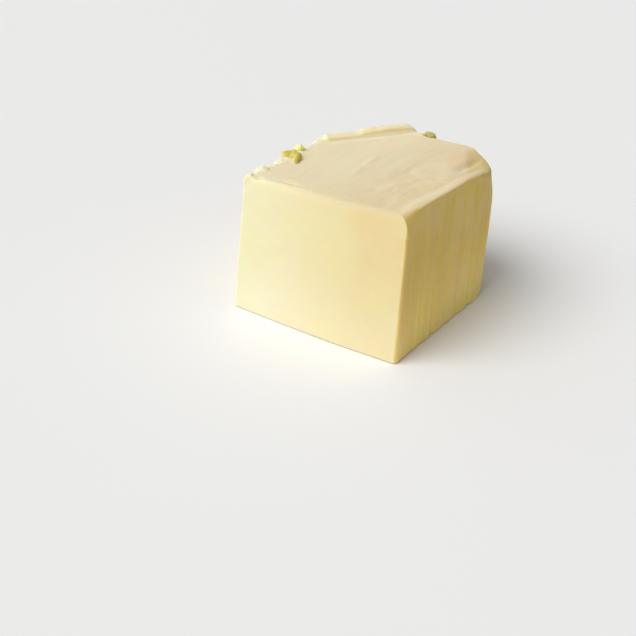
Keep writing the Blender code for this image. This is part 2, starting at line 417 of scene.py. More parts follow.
def right_wear(y):
    """The right edge is soft at the front, crisp in the middle and round at the back."""
    front = (WEAR_FRONT_RIGHT - WEAR_RIGHT) * (1.0 - smooth_step(-DEPTH / 2, RIGHT_SOFT_END, y))
    back = (WEAR_BACK_RIGHT - WEAR_RIGHT) * smooth_step(RIGHT_ROUND_START, RIGHT_ROUND_END, y)
    return (WEAR_RIGHT + front + back) * rough(y, *RIGHT_ROUGH)


# Chips along the front edge, deepest on the left: place across, width and depth, in millimetres.
CHIPS = (
    (-26.5, 2.4, 0.5),
    (-21.0, 2.8, 0.9),
    (-15.0, 2.6, 0.8),
    (-8.2, 2.6, 0.4),
    (8.0, 3.4, 0.2),
    (15.5, 3.0, 0.2),
)


def front_wear(x):
    """The front edge is most worn in the middle, and most chipped on the left."""
    worn = WEAR_FRONT * (1.0 + FRONT_WORN_SHARE * bell(x - FRONT_WORN_AT, FRONT_WORN_WIDTH))
    chips = sum(deep * MM * bell(x - place * MM, wide * MM) for place, wide, deep in CHIPS)
    pattern, share, size = FRONT_ROUGH
    return worn * (1.0 + share * grain(x, 0.0, pattern, size, 1.0, 1.0)) + chips


def back_wear(x):
    """The back edge is round in the middle, and crisp by the right corner and where the ridge runs out."""
    wear = WEAR_BACK + (WEAR_BACK_RIGHT - WEAR_BACK) * smooth_step(BACK_ROUND_START, BACK_ROUND_END, x)
    return wear * (1.0 - RIDGE_END_CRISP * bell(x - RIDGE_END_X, RIDGE_END_WIDTH))


def round_off(inward, down, radius, tall):
    """Moves a point near a square edge onto a rounded one; both distances are from the edge's faces.

    The rounding reaches radius inward and tall times as far down."""
    u, v = radius - inward, radius - down / tall
    if u <= 0.0 or v <= 0.0:
        return inward, down
    scale = max(u, v) / math.hypot(u, v)
    return radius - u * scale, (radius - v * scale) * tall


def round_edges(x, y, level, left, right, front, back, tall_right):
    """Rounds the four edges between the walls and a face that is level away, each by its own radius.

    The right one reaches tall_right times as far down as in."""
    point, halves = [x, y], (WIDTH / 2, DEPTH / 2)
    walls = ((0, -1, left, 1.0), (0, 1, right, tall_right), (1, -1, front, 1.0), (1, 1, back, 1.0))
    for axis, side, radius, tall in walls:
        inward, level = round_off(halves[axis] - side * point[axis], level, radius, tall)
        point[axis] = side * (halves[axis] - inward)
    return point[0], point[1], level


def round_corner(x, y, rise):
    """Rounds the outline's four corners, seen from above; rise is 0 at the base and 1 at the top."""
    growth = CORNER_BACK_RIGHT_GROWTH * smooth_step(CORNER_GROWS_FROM, 1.0, rise)
    corners = {
        (-1, -1): CORNER_FRONT_LEFT,
        (1, -1): CORNER_FRONT_RIGHT,
        (-1, 1): CORNER_BACK_LEFT,
        (1, 1): CORNER_BACK_RIGHT + growth,
    }
    for (side, end), radius in corners.items():
        centre_x, centre_y = side * (WIDTH / 2 - radius), end * (DEPTH / 2 - radius)
        u, v = side * (x - centre_x), end * (y - centre_y)
        if u > 0.0 and v > 0.0:
            scale = max(u, v) / math.hypot(u, v)
            return centre_x + side * u * scale, centre_y + end * v * scale
    return x, y


def flute(y, z):
    """Depth of the sides' flutes, with finer streaks between them."""
    phase = (y + FLUTE_LEAN * (z - FLUTE_MIDDLE) - FLUTE_PHASE) / FLUTE_PITCH
    from_flute = (phase - round(phase)) * FLUTE_PITCH
    start = smooth_step(FLUTES_START, FLUTES_START + FLUTES_EASE, y)
    end = 1.0 - smooth_step(FLUTES_END - FLUTES_EASE, FLUTES_END, y)
    fine = STREAK_DEPTH * grain(y + FLUTE_LEAN * z, z, STREAK_PATTERN, STREAK_WIDTH, STREAK_LENGTH, 1.0)
    return FLUTE_DEPTH * bell(from_flute, FLUTE_WIDTH) * start * end + fine


def front_bow(x):
    """How far the cut face falls back: two nearly flat halves that meet softly right of the middle."""
    from_bend = math.sqrt((x - BEND_PLACE) ** 2 + BEND_SOFTNESS ** 2) - BEND_SOFTNESS
    reach = WIDTH / 2 + BEND_PLACE if x < BEND_PLACE else WIDTH / 2 - BEND_PLACE
    return BOW_FRONT * from_bend / (math.sqrt(reach ** 2 + BEND_SOFTNESS ** 2) - BEND_SOFTNESS)


def shaped(a, b, c):
    """Where the point at fractions a, b and c of the plain box lies on the block."""
    x, y = drawn_to_ridge((a - 0.5) * WIDTH, (b - 0.5) * DEPTH)
    settled = round_corner(x, y, 1.0)
    top = top_height(*settled)
    along, behind = ridge_place(*settled)
    roll = ridge_roll(along, behind) * smooth_step(RIDGE_ROLL_FROM, 1.0, c)
    wear = (left_wear(y), right_wear(y), front_wear(x), back_wear(x))
    tall = 1.0 + TALL_FRONT * (1.0 - smooth_step(-DEPTH / 2, TALL_END, y))
    x, y, down = round_edges(x, y, (1.0 - c) * top, *wear, tall)
    z = top - down
    if z < WEAR_BOTTOM:
        tuck = WEAR_BOTTOM - math.sqrt(WEAR_BOTTOM ** 2 - (WEAR_BOTTOM - z) ** 2)
        x -= math.copysign(tuck, x) * (abs(x) > WIDTH / 2 - MM)
        y -= math.copysign(tuck, y) * (abs(y) > DEPTH / 2 - MM)
    edge_right = WIDTH / 2 - x
    edge_left = WIDTH / 2 + x
    rise = z / HEIGHT_FRONT_LEFT
    x, y = round_corner(x, y, rise)
    calm = 1.0 - FLUTE_CALM * smooth_step(top - FLUTE_CALM_DEPTH, top, z)
    left_flute = FLUTE_LEFT_SHARE * flute(y + FLUTE_LEFT_SHIFT, z)
    x -= flute(y, z) * calm * (1.0 - smooth_step(0.0, FLUTE_REACH, edge_right))
    x += left_flute * (1.0 - smooth_step(0.0, FLUTE_REACH, edge_left))
    lean = LEAN_LEFT * rise if x < 0.0 else LEAN_RIGHT * rise * rise
    x *= 1.0 - 2.0 * lean / WIDTH
    y *= 1.0 - 2.0 * LEAN_BACK * smooth_step(0.0, DEPTH / 2, y) * rise * rise / DEPTH
    frontness, backness = 0.5 - y / DEPTH, 0.5 + y / DEPTH
    y += front_bow(x) * frontness ** 2 - BOW_BACK * (2.0 * x / WIDTH) ** 2 * backness ** 2
    x += roll * math.cos(RIDGE_TURN)
    y -= roll * math.sin(RIDGE_TURN)
    return Vector((x, y, z))


def finer_at_edges(fraction):
    """Draws the grid's lines together towards both ends of a side."""
    return fraction - EDGE_FINENESS * math.sin(2.0 * math.pi * fraction) / (2.0 * math.pi)


def grid_shell():
    """Corners and faces of a box's surface: a grid on the top and the walls, and one face underneath."""
    across, back, up = CELLS
    numbers, places, faces = {}, [], []

    def corner(i, j, k):
        if (i, j, k) not in numbers:
            numbers[i, j, k] = len(places)
            places.append([finer_at_edges(n / cells) for n, cells in zip((i, j, k), CELLS)])
        return numbers[i, j, k]

    def square(*corners):
        faces.append([corner(*place) for place in corners])

    for i in range(across):
        for j in range(back):
            square((i, j, up), (i + 1, j, up), (i + 1, j + 1, up), (i, j + 1, up))
    for k in range(up):
        for i in range(across):
            square((i, 0, k), (i + 1, 0, k), (i + 1, 0, k + 1), (i, 0, k + 1))
            square((i + 1, back, k), (i, back, k), (i, back, k + 1), (i + 1, back, k + 1))
        for j in range(back):
            square((0, j + 1, k), (0, j, k), (0, j, k + 1), (0, j + 1, k + 1))
            square((across, j, k), (across, j + 1, k), (across, j + 1, k + 1), (across, j, k + 1))
    ring = [corner(i, 0, 0) for i in range(across)] + [corner(across, j, 0) for j in range(back)]
    ring += [corner(i, back, 0) for i in range(across, 0, -1)] + [corner(0, j, 0) for j in range(back, 0, -1)]
    faces.append(ring[::-1])
    return places, faces


def left_crumble(co):
    """How far the crumbly left edge stands out."""
    top = plain_top(co.x, co.y)
    high, low = CRUMBLY_DOWN
    at_top = smooth_step(top - high, top - low, co.z)
    at_left = 1.0 - smooth_step(*CRUMBLY_ACROSS, co.x + WIDTH / 2)
    before_ridge = 1.0 - smooth_step(*CRUMBLY_BACK, co.y)
    crumbly = at_top * at_left * (CRUMBLY_REST + (1.0 - CRUMBLY_REST) * before_ridge)
    lumps = sum(height * noise.noise(co / size + Vector((0.0, pattern, 0.0)))
                for height, size, pattern in CRUMBLY_LUMPS)
    return crumbly * MM * (CRUMBLY_LIFT + lumps)


def surface_detail(co, normal):
    """How far a point of the finished block moves along its normal: lumps, tool marks and softness."""
    move = left_crumble(co)
    arc = math.hypot(co.x - ARC_ACROSS, co.z - ARC_UP) - ARC_RADIUS
    move -= ARC_DEPTH * bell(arc, ARC_WIDTH) * (co.x < ARC_LEFT_OF) * (co.z > ARC_ABOVE)
    at_front = smooth_step(*CUT_FACE, -co.y)
    marks = sum(height * grain(co.x, pattern, co.z, long_x, 1.0, long_z)
                for height, pattern, long_x, long_z in CUT_MARKS)
    move += at_front * marks
    by_edge = bell(WIDTH / 2 - co.x, BULGE_ACROSS) * bell(co.y + DEPTH / 2, BULGE_BACK)
    bulge = BULGE_OUT * smooth_step(*BULGE_FROM, co.z)
    move += by_edge * (bulge - NICK_DEPTH * bell(co.z - NICK_UP, NICK_HEIGHT))
    walls = (1.0 - abs(normal.z)) * (1.0 - at_front)
    return move + walls * WALL_WAVES * noise.noise(co / WALL_WAVE_SIZE)


def smooth_piece(name, mesh, material):
    """Puts a mesh into the scene, smooth and with its material."""
    mesh.shade_smooth()
    mesh.materials.append(material)
    made = bpy.data.objects.new(name, mesh)
    bpy.context.scene.collection.objects.link(made)
    return made


def smooth_object(name, places, faces, material):
    """Makes a smooth object from its corners and faces."""
    mesh = bpy.data.meshes.new(name)
    mesh.from_pydata(places, [], faces)
    return smooth_piece(name, mesh, material)


def butter_block(material):
    """The block's surface as a fine mesh."""
    plain, faces = grid_shell()
    made = smooth_object("butter", [shaped(*fractions) for fractions in plain], faces, material)
    vertices = made.data.vertices
    moved = [v.co + v.normal * surface_detail(v.co, v.normal) if v.co.z > STILL_BELOW else v.co.copy()
             for v in vertices]
    for vertex, place in zip(vertices, moved):
        vertex.co = place
    made.data.update()
    return made


# The lumps of a crumb: how far each kind stands out, as a share of the crumb, and how close they are.
CRUMB_COARSE = (0.36, 1.4)
CRUMB_FINE = (0.13, 3.2)


def crumb(name, centre, size, turn, seed, material):
    """A small lump of butter: a ball stretched to its size, and made lumpy."""
    ball = bmesh.new()
    bmesh.ops.create_icosphere(ball, subdivisions=5, radius=1.0)
    spin = Matrix.Rotation(turn, 3, "Z")
    for vertex in ball.verts:
        out = vertex.co.normalized()
        swell = 1.0
        for (share, close), pattern in ((CRUMB_COARSE, (seed, 0.0, 0.0)), (CRUMB_FINE, (0.0, seed, 0.0))):
            swell += share * noise.noise(out * close + Vector(pattern))
        local = Vector([out[i] * swell * size[i] for i in range(3)])
        vertex.co = spin @ local + Vector(centre)
    mesh = bpy.data.meshes.new(name)
    ball.to_mesh(mesh)
    ball.free()
    return smooth_piece(name, mesh, material)


# The curl of butter that stands on the left edge: points along it and its radius there, in millimetres.
CURL = (
    ((-38.1, -17.2, 57.5), 1.3),
    ((-36.9, -16.4, 58.1), 2.0),
    ((-35.1, -15.5, 58.4), 2.2),
    ((-33.1, -14.8, 58.6), 2.2),
    ((-31.6, -15.5, 58.6), 1.9),
    ((-30.1, -18.0, 58.7), 1.5),
    ((-28.9, -20.6, 58.8), 1.1),
    ((-28.3, -22.2, 58.6), 0.7),
)

# How finely the curl is divided along and around, how many rings its ends close over and how small they
# start, how narrow it is for its height, and its lumps.
CURL_STEPS = 14
CURL_SIDES = 40
CURL_CLOSING = 6.0
CURL_TIP = 0.02
CURL_NARROW = 0.85
CURL_LUMPS = 0.35
CURL_LUMP_SIZE = 0.0017


def blend_points(before, first, second, after, t):
    """A smooth curve from first to second, as t goes from 0 to 1."""
    return 0.5 * (2.0 * first + (second - before) * t
                  + (2.0 * before - 5.0 * first + 4.0 * second - after) * t ** 2
                  + (3.0 * first - before - 3.0 * second + after) * t ** 3)


def curl(name, points, material):
    """A rolled-up flake: a lumpy tube along the points, closed at both ends."""
    knots = [Vector((*place, radius)) * MM for place, radius in points]
    knots = [2.0 * knots[0] - knots[1]] + knots + [2.0 * knots[-1] - knots[-2]]
    rings = []
    for n in range(1, len(knots) - 2):
        rings += [blend_points(*knots[n - 1:n + 3], step / CURL_STEPS) for step in range(CURL_STEPS)]
    rings.append(knots[-2])
    places, faces = [], []
    total = len(rings)
    for n, ring in enumerate(rings):
        ahead = (rings[min(n + 1, total - 1)] - rings[max(n - 1, 0)]).to_3d().normalized()
        aside = ahead.cross(Vector((0.0, 0.0, 1.0))).normalized()
        above = aside.cross(ahead)
        end = min(n, total - 1 - n) / CURL_CLOSING
        closing = math.sqrt(1.0 - (1.0 - end) ** 2) if end < 1.0 else 1.0
        for m in range(CURL_SIDES):
            turn = math.tau * m / CURL_SIDES
            out = aside * math.cos(turn) * CURL_NARROW + above * math.sin(turn)
            lumps = 1.0 + CURL_LUMPS * noise.noise((ring.to_3d() + out * MM) / CURL_LUMP_SIZE)
            places.append(ring.to_3d() + out * ring.w * max(closing, CURL_TIP) * lumps)
    for n in range(total - 1):
        for m in range(CURL_SIDES):
            after = (m + 1) % CURL_SIDES
            first, second = n * CURL_SIDES, (n + 1) * CURL_SIDES
            faces.append([first + m, first + after, second + after, second + m])
    faces.append(list(range(CURL_SIDES))[::-1])
    faces.append([(total - 1) * CURL_SIDES + m for m in range(CURL_SIDES)])
    return smooth_object(name, places, faces, material)


class Nodes:
    """Adds linked nodes to a node tree."""

    def __init__(self, tree):
        self.tree = tree

    def add(self, kind, values=None, **settings):
        node = self.tree.nodes.new(kind)
        for name, value in settings.items():
            setattr(node, name, value)
        for name, value in (values or {}).items():
            socket = node.inputs[name]
            if isinstance(value, bpy.types.NodeSocket):
                self.tree.links.new(value, socket)
            else:
                socket.default_value = value
        return node

    def math(self, operation, first, second):
        return self.add("ShaderNodeMath", {0: first, 1: second}, operation=operation).outputs[0]

    def plus(self, first, second):
        return self.math("ADD", first, second)

    def minus(self, first, second):
        return self.math("SUBTRACT", first, second)

    def times(self, first, second):
        return self.math("MULTIPLY", first, second)

    def larger(self, first, second):
        return self.math("MAXIMUM", first, second)

    def parts(self, vector):
        """The three parts of a vector, by the names X, Y and Z."""
        return self.add("ShaderNodeSeparateXYZ", {"Vector": vector}).outputs

    def along(self, vector, way):
        """How far a vector goes along a direction."""
        return self.add("ShaderNodeVectorMath", {0: vector, 1: way}, operation="DOT_PRODUCT").outputs["Value"]

    def ramp(self, value, low, high, to_low=0.0, to_high=1.0, kind="SMOOTHSTEP"):
        """A step, soft unless its kind is another: to_low below low, to_high above high."""
        values = {"Value": value, "From Min": low, "From Max": high, "To Min": to_low, "To Max": to_high}
        return self.add("ShaderNodeMapRange", values, interpolation_type=kind).outputs["Result"]

    def fall(self, value, low, high, from_low=1.0):
        """A soft step down: from_low below low, nothing above high."""
        return self.ramp(value, low, high, from_low, 0.0)

    def mix(self, share, first, second, blend="MIX"):
        """A colour between two, or the first one multiplied by the second."""
        values = {"Factor": share, "A": first, "B": second}
        node = self.add("ShaderNodeMix", data_type="RGBA", blend_type=blend)
        for socket in node.inputs:
            wanted = socket.type == "RGBA" or socket.name == "Factor"
            if socket.name in values and socket.enabled and wanted:
                value = values[socket.name]
                if isinstance(value, bpy.types.NodeSocket):
                    self.tree.links.new(value, socket)
                elif socket.type in ("RGBA", "VALUE"):
                    socket.default_value = value
        return [o for o in node.outputs if o.type == "RGBA"][0]

    def noise(self, place, scale, detail, stretch=(1.0, 1.0, 1.0)):
        """Noise from 0 to 1; a small stretch on an axis draws its pattern out that way."""
        moved = self.add("ShaderNodeMapping", {"Vector": place, "Scale": stretch}).outputs["Vector"]
        values = {"Vector": moved, "Scale": scale, "Detail": detail}
        return self.add("ShaderNodeTexNoise", values).outputs["Fac"]


# The cut front: its colour on the left and, darker and warmer, on the right, where the change is painted
# shade and the paler left stands in for the key light's reflection; whiter low down as painted bounce light;
# in patches; and darker along its worn top edge as painted shade.
CUT_COLOUR = (0.885, 0.835, 0.58, 1.0)
CUT_SHADED_RIGHT = (0.83, 0.69, 0.37, 1.0)
FRONT_BOUNCE_LIGHT = (0.94, 0.92, 0.80, 1.0)
FRESH_PATCH = (0.85, 0.80, 0.43, 1.0)
FRONT_EDGE_SHADE = (0.70, 0.605, 0.415, 1.0)

# The old outside of the walls, a deeper yellow that is darkened further as painted shade: low and high,
# lighter low down as painted bounce light, and paler on the left, so that the darker right wall carries
# painted shade. SKIN_DEEP and SKIN_TAN multiply it in the streaks, and a rim tone multiplies it at the round
# corner as painted shade. Its colour by the cut is darker, as painted shade.
SKIN_SHADED_HIGH = (0.73, 0.525, 0.115, 1.0)
SKIN_BOUNCE_LIT_LOW = (1.0, 0.745, 0.20, 1.0)
WALL_PALE = (0.88, 0.76, 0.42, 1.0)
SKIN_DEEP = (0.94, 0.92, 0.87, 1.0)
SKIN_TAN = (1.0, 0.965, 1.22, 1.0)
RIM_SHADE = (0.83, 0.85, 0.88, 1.0)
EDGE_SHADE_SKIN = (0.60, 0.48, 0.20, 1.0)

# The top: on the left, on the right, in patches and on the crumbly left edge.
TOP_COLOUR = (0.90, 0.77, 0.51, 1.0)
TOP_RIGHT = (0.82, 0.65, 0.40, 1.0)
TOP_PATCH = (0.89, 0.77, 0.51, 1.0)
LEFT_COLOUR = (1.0, 0.925, 0.64, 1.0)

# The scraped corner, close to the ridge and further out, and the paler strip before the ridge, a painted
# highlight. The last colour multiplies the ridge's foot, darkening it as painted shade.
SCRAPED_COLOUR = (0.985, 0.87, 0.59, 1.0)
SCRAPED_DEEP = (0.90, 0.76, 0.46, 1.0)
RIDGE_STRIP_HIGHLIGHT = (0.95, 0.86, 0.63, 1.0)
RIDGE_FOOT_SHADE = (0.86, 0.80, 0.68, 1.0)

# The curl and the crumbs: each one's sides, and its top, a lighter and a darker tone that paint light and
# shade by the way each part faces. The last colour multiplies the curl's thin end, darkening it as painted
# shade.
CURL_COLOURS = ((0.81, 0.69, 0.265, 1.0), (0.63, 0.53, 0.10, 1.0))
LUMP_COLOURS = ((0.96, 0.95, 0.36, 1.0), (1.0, 0.98, 0.42, 1.0))
BACK_COLOURS = ((0.42, 0.37, 0.09, 1.0), (0.54, 0.485, 0.155, 1.0))
CURL_END_SHADE = (0.84, 0.81, 0.72, 1.0)

# The top's plane, for the colours: its height in the middle, its rise to the right and its drop to the back.
TOP_MIDDLE = (HEIGHT_FRONT_LEFT + HEIGHT_FRONT_RIGHT - DROP_TO_BACK) / 2
TOP_RISE_ACROSS = (HEIGHT_FRONT_RIGHT - HEIGHT_FRONT_LEFT) / WIDTH
TOP_DROP_BACK = DROP_TO_BACK / DEPTH

# The scraped corner behind the ridge, for the colours: the way it lies, and how far out its foot is.
SCRAPE_WAY = Vector((-math.cos(RIDGE_TURN), math.sin(RIDGE_TURN), 0.0))
SCRAPE_EDGE = SCRAPE_WAY.dot(RIDGE_START.to_3d())

# The back right facet, for the colours: the way it faces, and how far out its inner edge lies.
FACET_WAY = Vector((math.cos(FACET_TURN), math.sin(FACET_TURN), 0.0))
FACET_EDGE = FACET_WAY.dot(FACET_START.to_3d())

# Where the colours change. Each pair is where a change starts and where it is complete: a place in metres
# across (X), back (Y) or up (Z), a distance below the top, or how far the surface faces a way, from -1 to 1.
CUT_Y = (-0.0490, -0.0440)
CUT_FACING_X = (0.25, 0.60)
WARM_X = (-0.034, 0.018)
INSIDE_X = (0.028, 0.032)
NEAR_TOP = (0.0035, 0.0095)
UPWARD_FACING = (0.55, 0.88)
RAISED = (-0.0012, -0.0004)
LEFT_X = (-0.0362, -0.0320)
SKIN_Z = (-0.004, 0.044)
PALE_X = (-0.030, 0.026)
RIM_X = (0.0, 0.02)
RIM_FACING_START = (0.12, 0.42)
RIM_FACING_END = (0.55, 0.90)
EDGE_SHADE_SKIN_Y = (-0.0484, -0.0450)
TOP_X = (-0.020, 0.026)
SCRAPED_FACING = (0.10, 0.40)
OFF_LIP_X = (0.0325, 0.0345)
OFF_LIP_Y = (0.022, 0.027)
ALONG_RIDGE_Y = (0.006, 0.012)
FRONT_BOUNCE_LIGHT_Z = (0.006, 0.038)
FRONT_EDGE_FACING = (-0.45, -0.08)
FRONT_EDGE_X = (-0.034, 0.032)
CRUMB_UPPER = (0.30, 0.90)
CURL_END_X = (-0.0318, -0.0300)
CURL_END_Y = (-0.016, -0.012)

# The same for distances behind the ridge's foot, and beyond the facet's inner edge.
SCRAPED_FROM = (SCRAPE_EDGE, SCRAPE_EDGE + 0.0015)
SCRAPED_DEEPENS = (SCRAPE_EDGE + 0.0040, SCRAPE_EDGE + 0.0110)
FOOT_STARTS = (SCRAPE_EDGE - 0.0004, SCRAPE_EDGE + 0.0002)
FOOT_ENDS = (SCRAPE_EDGE + 0.0003, SCRAPE_EDGE + 0.0014)
STRIP_STARTS = (SCRAPE_EDGE - 0.0042, SCRAPE_EDGE - 0.0016)
STRIP_ENDS = (SCRAPE_EDGE - 0.0008, SCRAPE_EDGE)
FACET_STARTS = (FACET_EDGE - 0.0005, FACET_EDGE + 0.0020)
FACET_DEEPENS = (FACET_EDGE + 0.0030, FACET_EDGE + 0.0090)

# The most that each of these colours takes of what lies under it.
WALL_PALE_SHARE = 0.75
EDGE_SHADE_SKIN_SHARE = 0.55
TOP_PATCH_SHARE = 0.6
TOP_STREAK_SHARE = 0.14
FACET_SHADE_SHARES = (0.42, 0.33)
FRONT_BOUNCE_LIGHT_SHARE = 0.22
FRESH_PATCH_SHARE = 0.30
BLOTCH_SHARE = 0.10
FRONT_EDGE_SHADE_SHARES = (0.14, 0.90)

# How far the cut's border wanders, and how ragged the top's border is on the walls, in metres.
CUT_WANDER = 0.004
TOP_RAGGED = 0.008

# The noises of the surface: how close each pattern is, per metre, its detail, and how it is stretched.
STREAKS_UP = (200.0, 3.0, (1.0, 1.0, 0.05))
STREAKS_BACK = (420.0, 3.0, (1.0, 0.07, 1.0))
STREAKS_TAN = (330.0, 2.0, (1.0, 1.0, 0.04))
PATCHES_TOP = (150.0, 3.0, (1.0, 0.35, 1.0))
PATCHES_CUT = (34.0, 2.0)
PATCHES_CRUMB = (300.0, 1.0)
BLOTCHES = (55.0, 3.0)
BORDER_CUT = (160.0, 2.0)
BORDER_TOP = (210.0, 3.0)
PORES = (2600.0, 2.0)
WET = (260.0, 3.0)

# Between which values each noise goes from nothing to full.
STREAKS_UP_FROM_TO = (0.36, 0.66)
STREAKS_BACK_FROM_TO = (0.44, 0.68)
STREAKS_TAN_FROM_TO = (0.46, 0.60)
PATCHES_TOP_FROM_TO = (0.40, 0.64)
PATCHES_CUT_FROM_TO = (0.42, 0.68)
BLOTCHES_FROM_TO = (0.35, 0.68)
WET_FROM_TO = (0.3, 0.7)
PATCHES_CRUMB_SHARE = 0.3
PORES_SHARE = 0.25

# How the surface takes light: its roughness, where it is wet and where not, the height of its bumps, how far
# light spreads below it and by which share of red, green and blue, and its shine.
ROUGHNESS = (0.50, 0.64)
BUMP_STRENGTH = 0.4
BLOCK_BUMP = 0.0003
CRUMB_BUMP = 0.0001
BLOCK_GLOW = 0.0014
CRUMB_GLOW = 0.0012
GLOW_COLOURS = (1.0, 0.75, 0.35)
BUTTER_IOR = 1.46
BUTTER_SHINE = 0.25


def new_material(name):
    """A material, and what is needed to build it: its nodes, its shader and the place on the object."""
    material = bpy.data.materials.new(name)
    material.use_nodes = True
    nodes = Nodes(material.node_tree)
    shader = material.node_tree.nodes["Principled BSDF"]
    return material, nodes, shader, nodes.add("ShaderNodeTexCoord").outputs["Object"]


def skin_and_shade_colour(nodes, place, split, facing, streaks_up):
    """The old outside of the walls, its deep dark yellow partly painted shade: lighter low down as painted
    bounce light, streaked, paler on the left, and darker round the back right corner and by the cut as
    painted shade.
    """
    # Lighter low down: painted bounce light; the dark upper tone is partly painted shade.
    skin_and_shade = nodes.mix(nodes.ramp(split["Z"], *SKIN_Z), SKIN_BOUNCE_LIT_LOW, SKIN_SHADED_HIGH)
    skin_and_shade = nodes.mix(nodes.ramp(streaks_up, *STREAKS_UP_FROM_TO), skin_and_shade, SKIN_DEEP, "MULTIPLY")
    tan_streaks = nodes.ramp(nodes.noise(place, *STREAKS_TAN), *STREAKS_TAN_FROM_TO)
    skin_and_shade = nodes.mix(tan_streaks, skin_and_shade, SKIN_TAN, "MULTIPLY")
    # Paler on the left, so that the right wall keeps the darker tone as painted shade.
    skin_and_shade = nodes.mix(nodes.fall(split["X"], *PALE_X, WALL_PALE_SHARE), skin_and_shade, WALL_PALE)
    # Darker round the back right corner: painted shade.
    rim_shade = nodes.times(nodes.ramp(facing["Y"], *RIM_FACING_START), nodes.fall(facing["Y"], *RIM_FACING_END))
    skin_and_shade = nodes.mix(nodes.times(rim_shade, nodes.ramp(split["X"], *RIM_X)), skin_and_shade, RIM_SHADE, "MULTIPLY")
    # Darker on the walls next to the cut: painted shade.
    return nodes.mix(nodes.fall(split["Y"], *EDGE_SHADE_SKIN_Y, EDGE_SHADE_SKIN_SHARE), skin_and_shade, EDGE_SHADE_SKIN)


def top_colour(nodes, place, split, skin_and_shade, streaks_back, left_band, raised, scraped, behind):
    """The beige top, with the scraped corner, the left edge, the facet darkened partly as painted shade, the
    ridge's foot darkened as painted shade, and the paler strip before it as a painted highlight.
    """
    plain = nodes.mix(nodes.ramp(split["X"], *TOP_X), TOP_COLOUR, TOP_RIGHT)
    patches = nodes.ramp(nodes.noise(place, *PATCHES_TOP), *PATCHES_TOP_FROM_TO)
    plain = nodes.mix(nodes.times(patches, TOP_PATCH_SHARE), plain, TOP_PATCH)
    streaks = nodes.ramp(streaks_back, *STREAKS_BACK_FROM_TO)
    top = nodes.mix(nodes.times(streaks, TOP_STREAK_SHARE), plain, skin_and_shade)
    scraped_tone = nodes.mix(nodes.ramp(behind, *SCRAPED_DEEPENS), SCRAPED_COLOUR, SCRAPED_DEEP)
    top = nodes.mix(nodes.larger(raised, scraped), top, scraped_tone)
    top = nodes.mix(left_band, top, LEFT_COLOUR)
    past = nodes.along(place, FACET_WAY)
    off_lip = nodes.larger(nodes.fall(split["X"], *OFF_LIP_X), nodes.ramp(split["Y"], *OFF_LIP_Y))
    # The back right facet takes more of the walls' darker colour the further out it lies: partly the
    # outside's colour, partly painted shade.
    first_share, second_share = FACET_SHADE_SHARES
    facet_shade_share = nodes.plus(nodes.ramp(past, *FACET_STARTS, 0.0, first_share),
                             nodes.ramp(past, *FACET_DEEPENS, 0.0, second_share))
    top = nodes.mix(nodes.times(facet_shade_share, off_lip), top, skin_and_shade)
    along_ridge = nodes.ramp(split["Y"], *ALONG_RIDGE_Y)
    # Painted shade in the crease at the ridge's foot.
    foot = nodes.times(nodes.ramp(behind, *FOOT_STARTS), nodes.fall(behind, *FOOT_ENDS))
    top = nodes.mix(nodes.times(foot, along_ridge), top, RIDGE_FOOT_SHADE, "MULTIPLY")
    # Painted highlight: a paler strip on the top just before the ridge's foot.
    strip = nodes.times(nodes.ramp(behind, *STRIP_STARTS), nodes.fall(behind, *STRIP_ENDS))
    return nodes.mix(nodes.times(strip, along_ridge), top, RIDGE_STRIP_HIGHLIGHT)


def fresh_colour(nodes, place, split):
    """The cut front: darker and warmer to the right as painted shade, with a paler left that stands in for
    the key light's reflection; whiter low down as painted bounce light; with soft patches.
    """
    # Darker and warmer to the right: painted shade; the paler left stands in for the key light's reflection.
    warm = nodes.ramp(split["X"], *WARM_X, kind="LINEAR")
    fresh = nodes.mix(warm, CUT_COLOUR, CUT_SHADED_RIGHT)
    # Whiter low down: painted bounce light.
    fresh = nodes.mix(nodes.fall(split["Z"], *FRONT_BOUNCE_LIGHT_Z, FRONT_BOUNCE_LIGHT_SHARE), fresh, FRONT_BOUNCE_LIGHT)
    patches = nodes.ramp(nodes.noise(place, *PATCHES_CUT), *PATCHES_CUT_FROM_TO, 0.0, FRESH_PATCH_SHARE)
    return nodes.mix(patches, fresh, FRESH_PATCH)


def crumb_colour(nodes, place, split, facing, colours):
    """The two colours of a crumb, by the way it faces: painted light and shade. The curl's thin end is
    darker: painted shade.
    """
    upper = nodes.plus(facing["Z"], nodes.times(nodes.noise(place, *PATCHES_CRUMB), PATCHES_CRUMB_SHARE))
    # Lighter and darker tones by the way each part faces: painted light and shade.
    colour = nodes.mix(nodes.ramp(upper, *CRUMB_UPPER), *colours)
    # Painted shade on the curl's thin end.
    curl_end_shade = nodes.times(nodes.ramp(split["X"], *CURL_END_X), nodes.fall(split["Y"], *CURL_END_Y))
    return nodes.mix(curl_end_shade, colour, CURL_END_SHADE, "MULTIPLY")


